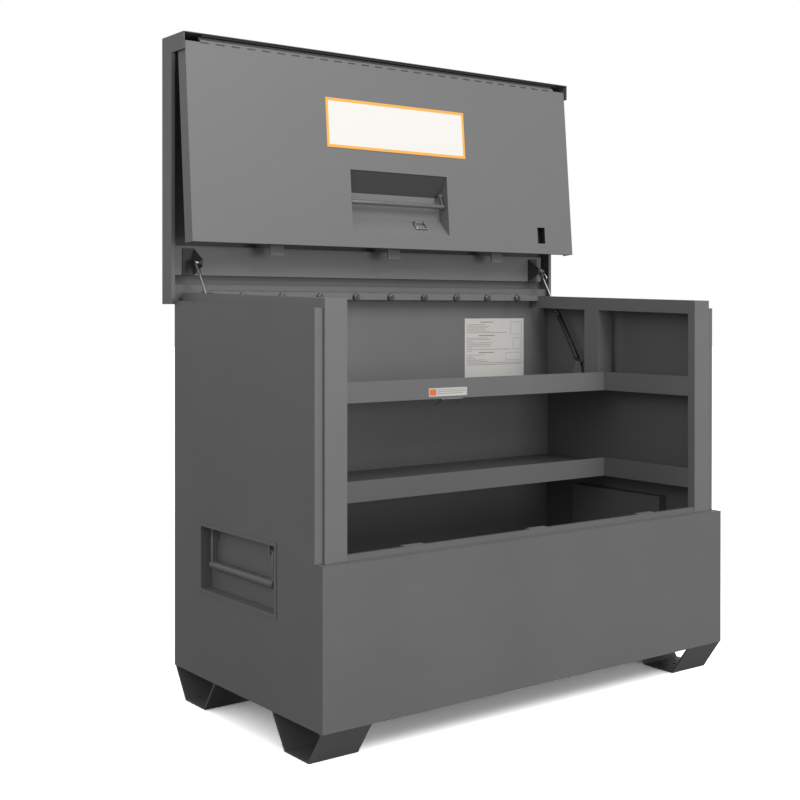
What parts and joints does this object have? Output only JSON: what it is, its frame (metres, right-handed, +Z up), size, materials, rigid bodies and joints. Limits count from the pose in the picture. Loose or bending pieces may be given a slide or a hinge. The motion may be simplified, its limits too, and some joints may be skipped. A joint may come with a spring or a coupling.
{
  "type": "jobsite storage box",
  "caption": "Steel jobsite storage box with raised neck, gas-strut lid that carries a hinged front door, inner shelves, recessed bail handles and open feet",
  "frame": {"origin": "middle of the open box's bounding box, at the underside of the feet", "axes": "+Z up, +Y towards the back, +X to the right seen from the front"},
  "size_m": [1.55, 0.7702, 1.9],
  "materials": {
    "grey_paint": "satin powder coat",
    "foot_paint": "satin powder coat, scuffed",
    "lock_paint": "matt black",
    "handle_steel": "satin",
    "strut_black": "satin black",
    "plated_steel": "zinc plated, dull",
    "bright_steel": "bright",
    "black_rubber": "matt",
    "plate": "satin enamel",
    "card": "matt"
  },
  "bodies": {
    "box": {"tub_front_panel": "grey_paint", "back_panel": "grey_paint", "bottom_panel": "grey_paint", "side_panel_right": "grey_paint", "side_panel_left": "grey_paint", "neck_channel_right": "grey_paint", "neck_channel_left": "grey_paint", "front_post_right": "grey_paint", "front_post_left": "grey_paint", "shelf_divider_right": "grey_paint", "shelf_divider_left": "grey_paint", "upper_shelf": "grey_paint", "lower_shelf": "grey_paint", "handle_pocket_right": "grey_paint", "handle_pocket_left": "grey_paint", "strike_centre": "grey_paint", "strike_right": "grey_paint", "strike_left": "grey_paint", "front_foot_right": "foot_paint", "front_foot_left": "foot_paint", "rear_foot_right": "foot_paint", "rear_foot_left": "foot_paint", "rear_hinge_fixed_leaf": "plated_steel", "strut_foot_bracket_right": "grey_paint", "strut_foot_bracket_left": "grey_paint", "shelf_edge_label": "card", "shelf_wire_clip": "bright_steel", "back_wall_card": "card"},
    "rear_pin": {"rear_hinge_pin": "plated_steel", "rear_hinge_moving_leaf": "plated_steel"},
    "lid": {"lid_shell": "grey_paint", "lid_channel": "grey_paint", "door_hinge_lid_leaf": "plated_steel", "door_hinge_pin": "plated_steel", "door_seal_strip": "black_rubber", "strut_head_bracket_right": "grey_paint", "strut_head_bracket_left": "grey_paint"},
    "door": {"door_shell": "grey_paint", "door_recess": "grey_paint", "door_hinge_door_leaf": "plated_steel", "lock_case": "lock_paint", "label_plate": "plate"},
    "latch_rail": {"latch_rail": "plated_steel"},
    "grab_bar": {"grab_bar": "handle_steel"},
    "hasp": {"hasp_loop": "bright_steel"},
    "bail_right": {"bail_handle_right": "handle_steel"},
    "strut_tube_right": {"strut_fitting_right": "plated_steel", "strut_tube_right": "strut_black"},
    "strut_guide_right": {"strut_guide_right": "bright_steel"},
    "strut_rod_right": {"strut_rod_right": "bright_steel"},
    "bail_left": {"bail_handle_left": "handle_steel"},
    "strut_tube_left": {"strut_fitting_left": "plated_steel", "strut_tube_left": "strut_black"},
    "strut_guide_left": {"strut_guide_left": "bright_steel"},
    "strut_rod_left": {"strut_rod_left": "bright_steel"}
  },
  "joints": [
    {"name": "lid_lower", "type": "hinge", "parent": "box", "child": "rear_pin", "pos_m": [0, 0.3411, 1.1624], "axis": [1, 0, 0], "range_deg": [0, 56], "stiffness_Nm_per_rad": 60, "springref_deg": -22.92},
    {"name": "lid_close", "type": "hinge", "parent": "rear_pin", "child": "lid", "pos_m": [0, 0.3469, 1.1854], "axis": [1, 0, 0], "range_deg": [0, 36.25], "stiffness_Nm_per_rad": 500, "springref_deg": -28.65},
    {"name": "door_swing", "type": "hinge", "parent": "lid", "child": "door", "pos_m": [0, 0.2751, 1.881], "axis": [-1, 0, 0], "range_deg": [0, 88.1]},
    {"name": "latch_lift", "type": "slide", "parent": "door", "child": "latch_rail", "axis": [0, 0.0741, 0.9973], "range_m": [0, 0.055]},
    {"name": "grab_bar_pull", "type": "hinge", "parent": "door", "child": "grab_bar", "pos_m": [0, 0.26455, 1.48269], "axis": [-1, 0, 0], "range_deg": [0, 25.1]},
    {"name": "hasp_swing", "type": "hinge", "parent": "door", "child": "hasp", "pos_m": [0, 0.25792, 1.39093], "axis": [1, 0, 0], "range_deg": [-70, 0]},
    {"name": "bail_swing_right", "type": "hinge", "parent": "box", "child": "bail_right", "pos_m": [0.745, 0.0019, 0.4905], "axis": [0, -1, 0], "range_deg": [0, 90]},
    {"name": "strut_tilt_right", "type": "hinge", "parent": "box", "child": "strut_tube_right", "pos_m": [0.701, 0.1299, 0.928], "axis": [1, 0, 0], "range_deg": [0, 2.45]},
    {"name": "strut_slide_first_right", "type": "slide", "parent": "strut_tube_right", "child": "strut_guide_right", "axis": [0, 0.5005, 0.8657], "range_m": [-0.0776, 0]},
    {"name": "strut_slide_last_right", "type": "slide", "parent": "strut_guide_right", "child": "strut_rod_right", "axis": [0, 0.5005, 0.8657], "range_m": [-0.0391, 0]},
    {"name": "bail_swing_left", "type": "hinge", "parent": "box", "child": "bail_left", "pos_m": [-0.745, 0.0019, 0.4905], "axis": [0, 1, 0], "range_deg": [0, 90]},
    {"name": "strut_tilt_left", "type": "hinge", "parent": "box", "child": "strut_tube_left", "pos_m": [-0.701, 0.1299, 0.928], "axis": [1, 0, 0], "range_deg": [0, 2.45]},
    {"name": "strut_slide_first_left", "type": "slide", "parent": "strut_tube_left", "child": "strut_guide_left", "axis": [0, 0.5005, 0.8657], "range_m": [-0.0776, 0]},
    {"name": "strut_slide_last_left", "type": "slide", "parent": "strut_guide_left", "child": "strut_rod_left", "axis": [0, 0.5005, 0.8657], "range_m": [-0.0391, 0]}
  ],
  "couplings": [
    {"joint": "door_swing", "follows": "lid_lower", "ratio": 1.5714},
    {"joint": "grab_bar_pull", "follows": "latch_lift", "rad_per_m": 7.9333},
    {"joint": "strut_tilt_right", "follows": "lid_lower", "ratio": 0.04286},
    {"joint": "strut_slide_first_right", "follows": "lid_lower", "m_per_rad": -0.07929},
    {"joint": "strut_slide_last_right", "follows": "lid_close", "m_per_rad": -0.06164},
    {"joint": "strut_tilt_left", "follows": "lid_lower", "ratio": 0.04286},
    {"joint": "strut_slide_first_left", "follows": "lid_lower", "m_per_rad": -0.07929},
    {"joint": "strut_slide_last_left", "follows": "lid_close", "m_per_rad": -0.06164}
  ]
}
